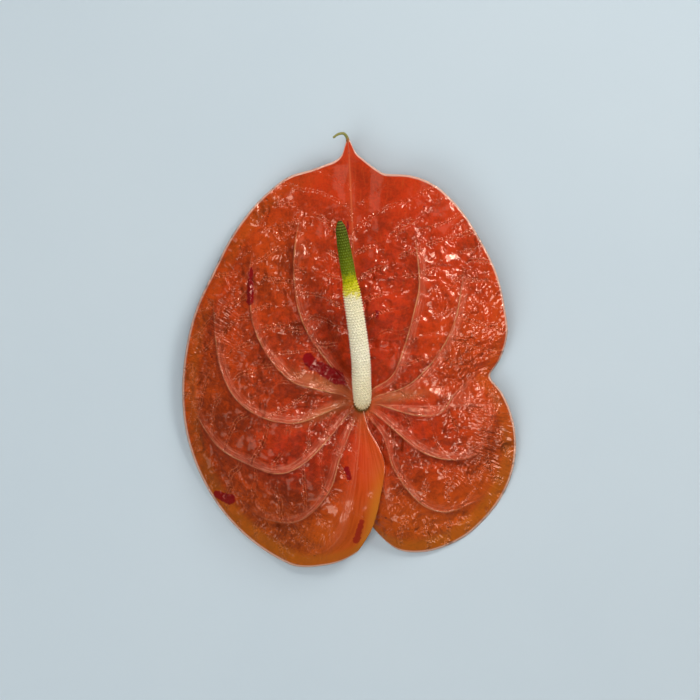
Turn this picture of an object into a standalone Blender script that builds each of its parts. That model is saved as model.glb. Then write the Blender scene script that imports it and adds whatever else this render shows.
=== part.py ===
"""Cut anthurium stem: heart-shaped spathe, spadix and short-cut peduncle, lying face up."""
import math

import bmesh
import bpy
import numpy as np
from mathutils import Vector, kdtree

MM = 0.001

# Spathe, the heart-shaped blade
BLADE_THICKNESS = 0.95 * MM
BLADE_RINGS = 22
HOLE_RING = 2
HOLE_RADIUS = 3.3 * MM
SHEET_CENTRE_HEIGHT = 17.5 * MM
VEIN_RIDGE_HEIGHT = 0.75 * MM
VEIN_RIDGE_WIDTH = 2.6 * MM
DISH_DEPTH = 0.5 * MM

# Bearings are degrees from straight down the blade, clockwise past its left side.
# Margin: bearing, distance from the spadix foot in millimetres.
MARGIN = [
    (0, 57.5), (6, 61.5), (12, 64.5), (24, 68.5), (42, 68.5), (60, 68.5),
    (78, 69), (96, 70), (108, 71.5), (120, 74), (132, 77), (144, 83),
    (156, 89.5), (162, 92.2), (168, 92.7), (171, 93.6), (174, 95), (175.5, 97.2), (177, 102.8),
    (178.5, 97.6), (180, 95.2), (183, 91.4), (186, 89.4), (192, 90.2), (198, 89.2), (206, 84.7), (216, 78), (226, 72.3), (236, 66.5),
    (244, 62.5), (251, 57), (258, 50.7), (266, 54.6), (276, 58.8), (288, 62.7),
    (300, 65), (318, 65.6), (330, 64.4), (340, 62), (348, 58.2), (354, 52), (360, 45),
]
# Blade rows draw together toward the tip: share of the way round in degrees, bearing.
BEARING_OF_ROW = [(0, 0), (100, 100), (140, 139.5), (165, 164.5), (174, 171.8), (180, 177),
                  (186, 182.2), (195, 191), (220, 219), (260, 260), (360, 360)]
# Margin height: bearing, millimetres above the surface.
MARGIN_HEIGHT = [
    (0, 4.5), (15, 2.4), (32, 0.7), (48, 0.45), (65, 1.3), (85, 3.6), (105, 6),
    (125, 8.5), (145, 10), (162, 11), (172, 12), (177, 10.5), (183, 12), (205, 13),
    (220, 13), (236, 11.5), (250, 8.5), (258, 7), (268, 7), (284, 5.5), (300, 2.6),
    (314, 0.5), (328, 0.7), (342, 1.4), (352, 1.2), (360, 0.6),
]
# Crest height: bearing, millimetres above the surface, two fifths of the way out.
CREST_HEIGHT = [
    (0, 20.6), (30, 21.5), (70, 22.5), (110, 23.5), (145, 23.5), (168, 22), (178, 20.5),
    (190, 22), (220, 23), (250, 22), (275, 21.5), (310, 20.5), (345, 18.6), (360, 17.8),
]
# Inner margins of the two lobes: fraction of the way out, bearing shift in degrees.
LEFT_LOBE_EDGE = [(0, -12), (0.15, -15), (0.35, -22), (0.62, -11), (0.85, -4), (1, 2)]
RIGHT_LOBE_EDGE = [(0, 12), (0.15, 12), (0.35, 10), (0.62, 7), (0.85, 1), (1, -3)]
LOBE_SPREAD = 45
EDGE_SPREAD = 58
LOBE_LIFT = 1.1 * MM
LOBE_DROP = 0.9 * MM

# Main veins, in millimetres from the spadix foot, +Y toward the tip.
VEINS = [
    [(0, 6), (-2, 32), (-3.6, 63.7), (-3.5, 80), (-5, 88), (-5.4, 99)],
    [(-6, 7), (-10.8, 13.4), (-19.9, 25.9), (-24.4, 37.2), (-26.1, 50.9), (-23.8, 72.4)],
    [(-8, 3), (-17.6, 6), (-26.7, 8.9), (-34.6, 16.8), (-40.3, 27), (-43, 45), (-42, 60)],
    [(-8, -1), (-15.3, -3.6), (-25.5, -7), (-36.9, -5.3), (-47.1, 0.9), (-55.6, 20.2), (-57.3, 39.5)],
    [(-6, -5), (-17.6, -18.4), (-34.6, -26.3), (-52.8, -18.4), (-64.1, -3.6), (-66.4, 4.3)],
    [(-3, -7), (-8.5, -20.7), (-18.7, -41.1), (-26.7, -45.6), (-36.9, -44.5), (-43.7, -41.1)],
    [(6, 6), (11.9, 11.1), (19.9, 35), (22.1, 46.3), (21, 58.8), (20.4, 64.5)],
    [(8, 3), (16.5, 6.6), (24.4, 13.4), (31.2, 22.5), (35.8, 32.7), (39.2, 53.1)],
    [(8, -1), (14.2, -2.5), (22.1, -4.2), (30.1, -3.1), (35.8, 4.3), (44.8, 13.4)],
    [(6, -5), (19.9, -16.1), (36.9, -21.2), (43.7, -19.5), (48.3, -12.7), (51.7, -3.6)],
    [(4, -7), (11.9, -24.1), (18.7, -34.3), (25.5, -40), (33.5, -41.7), (48.3, -36.6)],
]
VEIN_STEPS = 12

# Filament at the blade's tip: x, y in millimetres from the spadix foot, height.
FILAMENT = [(-5.2, 98.5, 11.4), (-5.5, 102, 11.8), (-7.1, 104.7, 12.4), (-9.3, 104.2, 13), (-11.2, 102.6, 13.6)]
FILAMENT_RADIUS = 0.7 * MM

# Spadix
SPADIX_AXIS = [(0, 0.1, 19.15), (0.1, 0.8, 21), (0.1, 3.2, 23.1), (-0.2, 9.3, 25.3), (-0.4, 16.3, 27),
               (-1.3, 24.5, 28.9), (-3.1, 37.2, 31.6), (-5.2, 50, 34.2), (-7, 60.4, 36.3), (-8.5, 69.7, 38.2)]
SPADIX_RADIUS = [(0, 2.2), (0.03, 2.7), (0.08, 3.3), (0.2, 3.5), (0.45, 3.35), (0.62, 3.2), (0.78, 2.85),
                 (0.9, 2.4), (0.97, 1.75), (1, 1.2)]
SPADIX_COLUMNS = 14
SPADIX_ROWS = 31
FLORET_RELIEF = 0.2 * MM

# Peduncle, the cut stalk
STALK_RADIUS = 3.0 * MM
STALK_AXIS = [(0, 0, 18.8), (0, 0, 16.6), (0, 0.4, 13), (-0.1, 3.6, 7.6), (-0.4, 12, 4.2),
              (-0.8, 26, 3.1), (-1.4, 50, 2.8), (-2.4, 80, 3.15)]
STALK_TOP_RADIUS = 0.95
STALK_SIDES = 24
REST_FLAT_REACH = 100 * MM


def clear_scene():
    for old in list(bpy.data.objects):
        bpy.data.objects.remove(old, do_unlink=True)


def make_collection(name):
    collection = bpy.data.collections.new(name)
    bpy.context.scene.collection.children.link(collection)
    return collection


def smooth_list(pairs, at):
    """Values of a list of pairs, joined by a smooth curve without overshoot."""
    x = np.array([p[0] for p in pairs], float)
    y = np.array([p[1] for p in pairs], float)
    steps = np.diff(x)
    slopes = np.diff(y) / steps
    tangent = np.concatenate(([slopes[0]], (slopes[:-1] + slopes[1:]) / 2, [slopes[-1]]))
    turns = slopes[:-1] * slopes[1:] <= 0
    tangent[1:-1][turns] = 0
    at = np.clip(np.asarray(at, float), x[0], x[-1])
    i = np.clip(np.searchsorted(x, at, side="right") - 1, 0, len(steps) - 1)
    f = (at - x[i]) / steps[i]
    rise = 3 * f**2 - 2 * f**3
    bend = tangent[i] * (f**3 - 2 * f**2 + f) + tangent[i + 1] * (f**3 - f**2)
    return y[i] + (y[i + 1] - y[i]) * rise + bend * steps[i]


def smooth_path(points, steps):
    """A smooth path through the points, with the given steps between each two."""
    knots = [Vector(p) for p in points]
    ends = [2 * knots[0] - knots[1]] + knots + [2 * knots[-1] - knots[-2]]
    path = []
    for k in range(1, len(ends) - 2):
        a, b, c, d = ends[k - 1:k + 3]
        for n in range(steps):
            f = n / steps
            along = 2 * b + (c - a) * f + (2 * a - 5 * b + 4 * c - d) * f**2
            path.append((along + (3 * b - a - 3 * c + d) * f**3) / 2)
    path.append(knots[-1])
    return path


def vein_tree():
    """Points along every main vein, and how strong the vein still is at each."""
    points = []
    strengths = []
    for vein in VEINS:
        path = smooth_path([(x, y, 0) for x, y in vein], VEIN_STEPS)
        points += path
        strengths += [min(1.0, (len(path) - 1 - n) / len(path) * 4) for n in range(len(path))]
    tree = kdtree.KDTree(len(points))
    for index, point in enumerate(points):
        tree.insert(point * MM, index)
    tree.balance()
    return tree, strengths


def blade_height(bearing, out):
    """Height of the blade's middle surface, for a bearing and a fraction of the way out."""
    centre = SHEET_CENTRE_HEIGHT
    crest = smooth_list(CREST_HEIGHT, bearing) * MM
    margin = smooth_list(MARGIN_HEIGHT, bearing) * MM
    rise = np.clip(out / 0.42, 0, 1)
    fall = np.clip((out - 0.42) / 0.58, 0, 1)
    height = centre + (crest - centre) * (3 * rise**2 - 2 * rise**3)
    height = height + (margin - crest) * (1.55 * fall**2 - 0.55 * fall**3)
    left = np.clip(1 - bearing / LOBE_SPREAD, 0, 1)
    right = np.clip(1 - (360 - bearing) / LOBE_SPREAD, 0, 1)
    sunk = 1 - np.clip(out - 0.75, 0, 0.25) * 2
    return height + LOBE_LIFT * left**2 - LOBE_DROP * right**2 * sunk


def blade_point(turn, share, veins):
    """Place of one point of the blade, with its raised veins and the dished tissue between."""
    row = float(smooth_list(BEARING_OF_ROW, turn * 360))
    margin = float(smooth_list(MARGIN, row)) * MM
    reach = HOLE_RADIUS + (margin - HOLE_RADIUS) * share
    out = reach / margin
    near_left = max(0.0, 1 - row / EDGE_SPREAD) ** 2
    near_right = max(0.0, 1 - (360 - row) / EDGE_SPREAD) ** 2
    bearing = row + float(smooth_list(LEFT_LOBE_EDGE, out)) * near_left
    bearing += float(smooth_list(RIGHT_LOBE_EDGE, out)) * near_right
    x = -math.sin(math.radians(bearing)) * reach
    y = -math.cos(math.radians(bearing)) * reach
    z = float(blade_height(row, out))
    tree, strengths = veins
    nearest, index, distance = tree.find((x, y, 0))
    calm = min(1.0, out / 0.25) * min(1.0, (1 - out) / 0.12)
    ridge = math.exp(-(distance / VEIN_RIDGE_WIDTH) ** 2) * strengths[index]
    dish = 0.5 - 0.5 * math.cos(min(distance / (6 * MM), 1) * math.pi)
    return Vector((x, y, z + (VEIN_RIDGE_HEIGHT * ridge - DISH_DEPTH * dish) * calm))


def make_blade_sheet():
    """A square grid wrapped to rings, slit from the foot to the sinus and shaped."""
    bm = bmesh.new()
    cells = 2 * BLADE_RINGS
    bmesh.ops.create_grid(bm, x_segments=cells, y_segments=cells, size=BLADE_RINGS)
    centre = [f for f in bm.faces if max(abs(c) for c in f.calc_center_median()[:2]) < HOLE_RING]
    bmesh.ops.delete(bm, geom=centre, context="FACES")
    slit = [e for e in bm.edges if all(abs(v.co.x) < 0.01 and v.co.y < 0.01 for v in e.verts)]
    bmesh.ops.split_edges(bm, edges=slit)
    veins = vein_tree()
    places = {}
    for vert in bm.verts:
        x, y = vert.co.x, vert.co.y
        ring = max(abs(x), abs(y))
        if abs(x) < 0.01 and y < 0:
            side = vert.link_faces[0].calc_center_median().x
            turn = 0.0 if side < 0 else 1.0
        elif y <= -ring + 0.01:
            turn = (-x / ring) / 8 if x < 0 else 1 - (x / ring) / 8
        elif x <= -ring + 0.01:
            turn = 0.25 + (y / ring) / 8
        elif y >= ring - 0.01:
            turn = 0.5 + (x / ring) / 8
        else:
            turn = 0.75 - (y / ring) / 8
        share = (ring - HOLE_RING) / (BLADE_RINGS - HOLE_RING)
        places[vert] = blade_point(turn, share, veins)
    for vert, place in places.items():
        vert.co = place
    bmesh.ops.recalc_face_normals(bm, faces=bm.faces)
    if sum(f.normal.z for f in bm.faces) < 0:
        bmesh.ops.reverse_faces(bm, faces=bm.faces)
    mesh = bpy.data.meshes.new("spathe")
    bm.to_mesh(mesh)
    bm.free()
    return mesh


def flatten_to_mesh(obj):
    """Replace an object's data by its mesh with the modifiers applied."""
    graph = bpy.context.evaluated_depsgraph_get()
    mesh = bpy.data.meshes.new_from_object(obj.evaluated_get(graph))
    bm = bmesh.new()
    bm.from_mesh(mesh)
    bmesh.ops.remove_doubles(bm, verts=bm.verts, dist=0.00001)
    bm.to_mesh(mesh)
    bm.free()
    return mesh


def make_tube(name, path, radii, sides):
    """A round solid along a path, made as a bevelled curve and closed at both ends."""
    curve = bpy.data.curves.new(name + "_path", "CURVE")
    curve.dimensions = "3D"
    curve.bevel_depth = 1.0
    curve.bevel_resolution = sides // 2 - 2
    curve.use_fill_caps = True
    spline = curve.splines.new("POLY")
    spline.points.add(len(path) - 1)
    for point, place, radius in zip(spline.points, path, radii):
        point.co = (*place, 1)
        point.radius = radius
    tube = bpy.data.objects.new(name + "_tube", curve)
    bpy.context.scene.collection.objects.link(tube)
    mesh = flatten_to_mesh(tube)
    bpy.data.objects.remove(tube, do_unlink=True)
    return mesh


def combine(obj, other, operation, collection):
    """Cut an object by another solid, or join the two."""
    collection.objects.link(other)
    other.hide_render = True
    other.display_type = "WIRE"
    cut = obj.modifiers.new(operation.lower(), "BOOLEAN")
    cut.operation = operation
    cut.solver = "EXACT"
    cut.object = other


def leaf_material():
    material = bpy.data.materials.new("spathe_orange_red")
    material.use_nodes = True
    shader = material.node_tree.nodes["Principled BSDF"]
    shader.inputs["Base Color"].default_value = (0.45, 0.045, 0.012, 1)
    shader.inputs["Roughness"].default_value = 0.25
    shader.inputs["Coat Weight"].default_value = 0.6
    return material


def floret_material():
    material = bpy.data.materials.new("spadix_cream")
    material.use_nodes = True
    shader = material.node_tree.nodes["Principled BSDF"]
    shader.inputs["Base Color"].default_value = (0.8, 0.6, 0.3, 1)
    shader.inputs["Roughness"].default_value = 0.5
    return material


def stalk_material():
    material = bpy.data.materials.new("peduncle_green")
    material.use_nodes = True
    shader = material.node_tree.nodes["Principled BSDF"]
    shader.inputs["Base Color"].default_value = (0.12, 0.2, 0.04, 1)
    shader.inputs["Roughness"].default_value = 0.45
    return material


def make_spathe(collection, cutters):
    sheet = make_blade_sheet()
    spathe = bpy.data.objects.new("spathe", sheet)
    collection.objects.link(spathe)
    split = spathe.modifiers.new("triangles", "TRIANGULATE")
    split.quad_method = "SHORTEST_DIAGONAL"
    thick = spathe.modifiers.new("thickness", "SOLIDIFY")
    thick.thickness = BLADE_THICKNESS
    thick.offset = 0.0
    thick.use_even_offset = True
    path = [p * MM for p in smooth_path(FILAMENT, 5)]
    radii = [FILAMENT_RADIUS * (1 - 0.35 * n / (len(path) - 1)) for n in range(len(path))]
    filament = bpy.data.objects.new("filament", make_tube("filament", path, radii, 10))
    combine(spathe, filament, "UNION", cutters)
    sheet.materials.append(leaf_material())
    for face in sheet.polygons:
        face.use_smooth = True
    return spathe


def make_spadix(collection):
    """A ball of rings stretched along the leaning axis, with florets as relief."""
    rings = 2 * SPADIX_ROWS
    bm = bmesh.new()
    bmesh.ops.create_uvsphere(bm, u_segments=2 * SPADIX_COLUMNS, v_segments=rings, radius=1)
    axis = smooth_path(SPADIX_AXIS, 12)
    lengths = np.concatenate(([0], np.cumsum([(b - a).length for a, b in zip(axis, axis[1:])])))
    shares = lengths / lengths[-1]
    for vert in bm.verts:
        x, y, z = vert.co
        ring = round(math.acos(max(-1.0, min(1.0, -z))) / math.pi * rings)
        column = round(math.atan2(y, x) / math.pi * SPADIX_COLUMNS)
        share = (ring / rings - 0.5) * 1.0 + 0.5
        place = Vector([np.interp(share, shares, [p[k] for p in axis]) for k in range(3)])
        ahead = Vector([np.interp(min(share + 0.03, 1), shares, [p[k] for p in axis]) for k in range(3)])
        behind = Vector([np.interp(max(share - 0.03, 0), shares, [p[k] for p in axis]) for k in range(3)])
        along = (ahead - behind).normalized()
        across = Vector((1, 0, 0))
        across = (across - along * across.dot(along)).normalized()
        up = across.cross(along) * -1
        radius = float(smooth_list(SPADIX_RADIUS, share))
        if ring in (0, rings):
            radius = 0.0
        elif 1 < ring < rings - 1:
            radius += FLORET_RELIEF / MM * (1 if (ring + column) % 2 == 0 else -0.6)
        angle = column * math.pi / SPADIX_COLUMNS
        vert.co = (place + (across * math.cos(angle) + up * math.sin(angle)) * radius) * MM
    bmesh.ops.recalc_face_normals(bm, faces=bm.faces)
    mesh = bpy.data.meshes.new("spadix")
    bm.to_mesh(mesh)
    bm.free()
    for face in mesh.polygons:
        face.use_smooth = True
    spadix = bpy.data.objects.new("spadix", mesh)
    collection.objects.link(spadix)
    mesh.materials.append(floret_material())
    return spadix


def make_peduncle(collection, cutters):
    path = [p * MM for p in smooth_path(STALK_AXIS, 7)]
    radii = []
    for place in path:
        slim = np.clip((place.z - 10 * MM) / (6 * MM), 0, 1)
        radii.append(STALK_RADIUS * (1 - (1 - STALK_TOP_RADIUS) * slim))
    stalk = bpy.data.objects.new("peduncle", make_tube("peduncle", path, radii, STALK_SIDES))
    collection.objects.link(stalk)
    bm = bmesh.new()
    bmesh.ops.create_cube(bm, size=1)
    for vert in bm.verts:
        vert.co.x *= 12 * MM
        vert.co.y = (vert.co.y + 0.5) * REST_FLAT_REACH
        vert.co.z = (vert.co.z - 0.5) * 4 * MM
    block = bpy.data.meshes.new("rest_flat")
    bm.to_mesh(block)
    bm.free()
    combine(stalk, bpy.data.objects.new("rest_flat", block), "DIFFERENCE", cutters)
    stalk.data.materials.append(stalk_material())
    for face in stalk.data.polygons:
        face.use_smooth = len(face.vertices) == 4
    return stalk


def centre_on_origin(nodes, helpers):
    """Put the middle of the whole object's base at the origin."""
    graph = bpy.context.evaluated_depsgraph_get()
    corners = []
    for node in nodes:
        mesh = node.evaluated_get(graph).to_mesh()
        corners += [node.matrix_world @ v.co for v in mesh.vertices]
    low = Vector([min(c[k] for c in corners) for k in range(3)])
    high = Vector([max(c[k] for c in corners) for k in range(3)])
    shift = Vector((-(low.x + high.x) / 2, -(low.y + high.y) / 2, -low.z))
    for obj in nodes + helpers:
        for vert in obj.data.vertices:
            vert.co += shift
        obj.data.update()
    print("shift in millimetres:", [round(c / MM, 3) for c in shift])


def main():
    clear_scene()
    collection = make_collection("cut_anthurium_stem")
    cutters = make_collection("cutters")
    spathe = make_spathe(collection, cutters)
    spadix = make_spadix(collection)
    peduncle = make_peduncle(collection, cutters)
    bpy.context.view_layer.update()
    centre_on_origin([spathe, spadix, peduncle], list(cutters.objects))


main()
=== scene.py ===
import math

import bmesh
import bpy
import numpy as np
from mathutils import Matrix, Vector


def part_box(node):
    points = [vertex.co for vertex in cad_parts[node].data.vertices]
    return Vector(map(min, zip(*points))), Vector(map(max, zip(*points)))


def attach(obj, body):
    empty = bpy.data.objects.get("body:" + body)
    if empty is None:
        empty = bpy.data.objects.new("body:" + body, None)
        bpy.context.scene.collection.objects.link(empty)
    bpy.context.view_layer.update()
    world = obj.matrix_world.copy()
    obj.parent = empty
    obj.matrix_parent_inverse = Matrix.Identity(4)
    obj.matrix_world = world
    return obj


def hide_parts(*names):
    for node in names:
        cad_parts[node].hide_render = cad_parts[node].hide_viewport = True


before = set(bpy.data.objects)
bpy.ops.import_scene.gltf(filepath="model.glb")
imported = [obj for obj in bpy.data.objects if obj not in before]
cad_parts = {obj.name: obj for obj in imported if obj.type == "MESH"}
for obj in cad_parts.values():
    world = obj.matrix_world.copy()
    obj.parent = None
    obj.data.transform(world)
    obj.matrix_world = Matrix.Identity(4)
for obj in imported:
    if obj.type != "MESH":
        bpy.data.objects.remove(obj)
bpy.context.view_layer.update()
MM = 0.001

# The spathe is one heart-shaped bract, a glossy leaf under a millimetre thick.
# It grows from the top of the stalk, which its foot clasps, and is slit from there to the sinus.
spathe_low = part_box("spathe")[0]
FOOT_FROM_LEFT = 69.9 * MM
FOOT_FROM_LOBES = 63.8 * MM
FOOT = Vector((spathe_low.x + FOOT_FROM_LEFT, spathe_low.y + FOOT_FROM_LOBES, 0))
BLADE_THICKNESS = 0.85 * MM
BLADE_RINGS = 108
HOLE_RING = 2

# The blade is worked out in millimetres from the spadix foot, with its tip toward +Y.
HOLE_RADIUS = 2.6
FOOT_HEIGHT = 17.5
CREST_SHARE = 0.42
BROAD_TIP = 92.5
LOBE_SPREAD = 45
EDGE_SPREAD = 58
LOBE_LIFT = 1.1
LOBE_DROP = 0.9
RIB_HEIGHT = 0.75
DISH_DEPTH = 0.5
GUTTER_DEPTH = 0.1
QUILT_HEIGHT = 0.55
PUFF_HEIGHT = 0.8
NOTCH_WRINKLE = 0.3
CROSS_VEIN_PITCH = 10
CELL_LENGTH = 6
MIDRIB_BEARING = 177

# Bearings are degrees from straight down the blade, clockwise past its left side.
# Margin: bearing, distance from the foot.
MARGIN = [
    (0, 57.5), (6, 61.5), (12, 64.5), (24, 68.5), (42, 68.5), (60, 68.5),
    (78, 69), (96, 70), (108, 71.5), (120, 74), (132, 77), (144, 83),
    (156, 89.5), (162, 92.2), (168, 92.7), (171, 93.6), (174, 95), (175.5, 97.2), (177, 102.8),
    (178.5, 97.6), (180, 95.2), (183, 91.4), (186, 89.4), (192, 90.2), (198, 89.2),
    (206, 84.7), (216, 78), (226, 72.3), (236, 66.5),
    (244, 62.5), (251, 57), (258, 50.7), (266, 54.6), (276, 58.8), (288, 62.7),
    (300, 65), (318, 65.6), (330, 64.4), (340, 62), (348, 58.2), (354, 52), (360, 45),
]
# Blade rows draw together toward the tip: share of the way round in degrees, bearing.
BEARING_OF_ROW = [(0, 0), (100, 100), (140, 139.5), (165, 164.5), (174, 171.8), (180, 177),
                  (186, 182.2), (195, 191), (220, 219), (260, 260), (360, 360)]
# Margin height: bearing, millimetres above the surface.
MARGIN_HEIGHT = [
    (0, 4.5), (15, 2.4), (32, 0.7), (48, 0.45), (65, 1.3), (85, 3.6), (105, 6),
    (125, 8.5), (145, 10), (162, 10.9), (172, 11.3), (177, 10.7), (183, 11.5), (205, 13),
    (220, 13), (236, 11.5), (250, 8.5), (258, 7), (268, 7), (284, 5.5), (300, 2.6),
    (314, 0.5), (328, 0.7), (342, 1.4), (352, 1.2), (360, 0.6),
]
# Crest height: bearing, millimetres above the surface, two fifths of the way out.
CREST_HEIGHT = [
    (0, 20.6), (30, 21.5), (70, 22.5), (110, 23.5), (145, 23.5), (168, 21.9), (178, 21.2),
    (190, 22), (220, 23), (250, 22), (275, 21.5), (310, 20.5), (345, 18.6), (360, 17.8),
]
# Inner margins of the two lobes: fraction of the way out, bearing shift in degrees.
LEFT_LOBE_EDGE = [(0, -12), (0.15, -14.5), (0.27, -20.8), (0.36, -21.8), (0.62, -11.5), (0.85, -4),
                  (1, 2)]
RIGHT_LOBE_EDGE = [(0, 12), (0.15, 12), (0.35, 10), (0.62, 7), (0.85, 1), (1, -3)]

# Main veins of each half, from the midrib round to the lobe.
MIDRIB = [(0, 6), (-2, 32), (-3.6, 63.7), (-3.5, 80), (-5, 88), (-5.4, 102)]
LEFT_VEINS = [
    MIDRIB,
    [(-4.5, 6), (-10.8, 13.4), (-19.9, 25.9), (-24.4, 37.2), (-26.1, 50.9), (-25.5, 62.2), (-23.8, 72.4)],
    [(-6.5, 3.5), (-17.6, 6), (-26.7, 8.9), (-34.6, 16.8), (-40.3, 27), (-42.6, 37.2), (-43.1, 50.9),
     (-42, 60)],
    [(-7, 0), (-15.3, -3.6), (-25.5, -7), (-36.9, -5.3), (-47.1, 0.9), (-52.8, 10), (-55.6, 20.2),
     (-57.3, 39.5)],
    [(-5.5, -4), (-17.6, -18.4), (-26.7, -25.2), (-34.6, -26.3), (-43.7, -22.9), (-52.8, -18.4),
     (-58.5, -12.7), (-64.1, -3.6), (-66.4, 4.3)],
    [(-3, -6.5), (-8.5, -20.7), (-11.9, -32), (-18.7, -41.1), (-26.7, -45.6), (-36.9, -44.5),
     (-43.7, -41.1)],
    [(-0.6, -7), (-1.5, -20), (-3.5, -35), (-8, -50), (-15, -57), (-24, -59.4)],
]
RIGHT_VEINS = [
    MIDRIB,
    [(4.5, 6), (11.9, 11.1), (16.5, 22.5), (19.9, 35), (22.1, 46.3), (21, 58.8), (20.4, 64.5)],
    [(6.5, 3.5), (16.5, 6.6), (24.4, 13.4), (31.2, 22.5), (35.8, 32.7), (38, 44.1), (39.2, 53.1)],
    [(7, 0), (14.2, -2.5), (22.1, -4.2), (30.1, -3.1), (35.8, 4.3), (44.8, 13.4)],
    [(5.5, -4), (11.9, -9.3), (19.9, -16.1), (27.8, -20.1), (36.9, -21.2), (43.7, -19.5),
     (48.3, -12.7), (51.7, -3.6)],
    [(3.5, -6), (8.5, -12.7), (11.9, -24.1), (18.7, -34.3), (25.5, -40), (33.5, -41.7), (41.4, -38.8),
     (48.3, -36.6)],
    [(1.6, -7), (6.8, -26.3), (9.7, -37.7), (11.9, -46.8)],
]
VEIN_STRENGTH = [0.35, 1.0, 1.0, 1.0, 1.0, 0.8, 0.25]
# Past its last vein each half counts on toward a bearing beyond the sinus.
LEFT_END_BEARING = -24
RIGHT_END_BEARING = 376

# Crumpled places, which catch the light: centre, half width and half height.
CRUMPLE_SPREAD = 1.4
CRUMPLES = [
    (-38, 76, 1.9, 2.7), (-30, 67, 5.0, 1.5), (-46, 60, 1.2, 1.9), (-47, 46, 1.2, 5.8),
    (-31, 53, 3.0, 8.5), (-24, 73, 1.9, 1.9), (-16, 53, 1.9, 4.3), (-12, 66, 1.2, 1.5),
    (-10, 49, 1.2, 6.2), (-41, 27, 3.1, 4.3), (-26, 29, 4.3, 1.2), (-22, 25, 2.3, 1.5),
    (18, 77, 3.5, 1.9), (1, 70, 1.9, 2.3), (15, 65, 3.1, 1.2), (23, 63, 1.9, 1.5),
    (28, 60, 2.5, 4.0), (37, 67, 1.5, 1.5), (11, 51, 5.4, 1.5), (10, 45, 5.0, 2.3),
    (29, 51, 5.0, 1.8), (30, 38, 3.1, 3.1), (43, 45, 5.4, 11.6), (8, 23, 5.0, 1.2),
    (18, 21, 1.9, 4.3), (41, 15, 13.9, 6.6), (-33, 11, 2.3, 1.2), (-40, 9, 3.1, 1.2),
    (-12, 9, 2.3, 1.5), (-19, 2, 4.3, 1.2), (-22, -3, 4.6, 1.5), (-39, -12, 1.5, 2.3),
    (-31, -33, 1.2, 3.5), (-26, -40, 3.9, 2.3), (-44, -37, 1.9, 2.3), (-31, -50, 3.9, 2.3),
    (-22, -50, 1.9, 3.1), (-9, -36, 1.9, 2.3), (-64, 10, 1.5, 1.9), (-53, -7, 4.3, 1.9),
    (15, 7, 3.3, 4.4), (22, -3, 4.3, 1.2), (31, -2, 2.3, 2.3), (41, -2, 2.7, 1.2),
    (15, -8, 2.3, 1.5), (36, -10, 3.5, 2.7), (37, -17, 1.9, 1.2), (10, -11, 1.2, 3.1),
    (14, -17, 1.2, 2.3), (24, -22, 4.6, 1.5), (33, -24, 3.5, 1.5), (42, -24, 3.1, 3.1),
    (14, -38, 2.7, 4.3), (24, -44, 1.9, 1.2), (37, -44, 3.5, 1.5),
]


def smooth_list(pairs, at):
    """Values of a list of pairs, joined by a smooth curve without overshoot."""
    x = np.array([p[0] for p in pairs], float)
    y = np.array([p[1] for p in pairs], float)
    steps = np.diff(x)
    slopes = np.diff(y) / steps
    tangent = np.concatenate(([slopes[0]], (slopes[:-1] + slopes[1:]) / 2, [slopes[-1]]))
    tangent[1:-1][slopes[:-1] * slopes[1:] <= 0] = 0
    at = np.clip(np.asarray(at, float), x[0], x[-1])
    i = np.clip(np.searchsorted(x, at, side="right") - 1, 0, len(steps) - 1)
    f = (at - x[i]) / steps[i]
    rise = 3 * f**2 - 2 * f**3
    bend = tangent[i] * (f**3 - 2 * f**2 + f) + tangent[i + 1] * (f**3 - f**2)
    return y[i] + (y[i + 1] - y[i]) * rise + bend * steps[i]


def smooth_path(points, steps):
    """A smooth path through the points, with the given steps between each two."""
    knots = np.array(points, float)
    ends = np.vstack([2 * knots[0] - knots[1], knots, 2 * knots[-1] - knots[-2]])
    path = []
    for k in range(1, len(ends) - 2):
        a, b, c, d = ends[k - 1:k + 3]
        for f in np.arange(steps) / steps:
            bend = (2 * a - 5 * b + 4 * c - d) * f**2 + (3 * b - a - 3 * c + d) * f**3
            path.append((2 * b + (c - a) * f + bend) / 2)
    path.append(knots[-1])
    return np.array(path)


def ease(value, low, high):
    """0 below low, 1 above high, and smooth between."""
    f = np.clip((value - low) / (high - low), 0, 1)
    return f * f * (3 - 2 * f)


def hill(x, y, centre, size, turn=0):
    """A round or oval hill of height 1, which marks a region of the blade."""
    c, s = math.cos(math.radians(turn)), math.sin(math.radians(turn))
    dx, dy = x - centre[0], y - centre[1]
    return np.exp(-((dx * c + dy * s) / size[0]) ** 2 - ((dy * c - dx * s) / size[1]) ** 2)


def vein_tables(veins):
    """Bearing and length along each vein at each distance from the foot, and where each vein ends."""
    reach = np.arange(0, 112, 1.0)
    bearings, lengths, ends = [], [], []
    for vein in veins:
        path = smooth_path(vein, 10)
        out = np.hypot(path[:, 0], path[:, 1])
        bearing = np.degrees(np.arctan2(-path[:, 0], -path[:, 1])) % 360
        bearing = np.where(bearing > 358, bearing - 360, bearing)
        steps = np.hypot(*np.diff(path, axis=0).T)
        order = np.argsort(out)
        along = out[0] + np.concatenate(([0], np.cumsum(steps)))
        bearings.append(np.interp(reach, out[order], bearing[order]))
        past = np.maximum(reach - out.max(), 0) - np.maximum(out.min() - reach, 0)
        lengths.append(np.interp(reach, out[order], along[order]) + past)
        ends.append(out.max())
    return reach, np.array(bearings), np.array(lengths), ends


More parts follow.
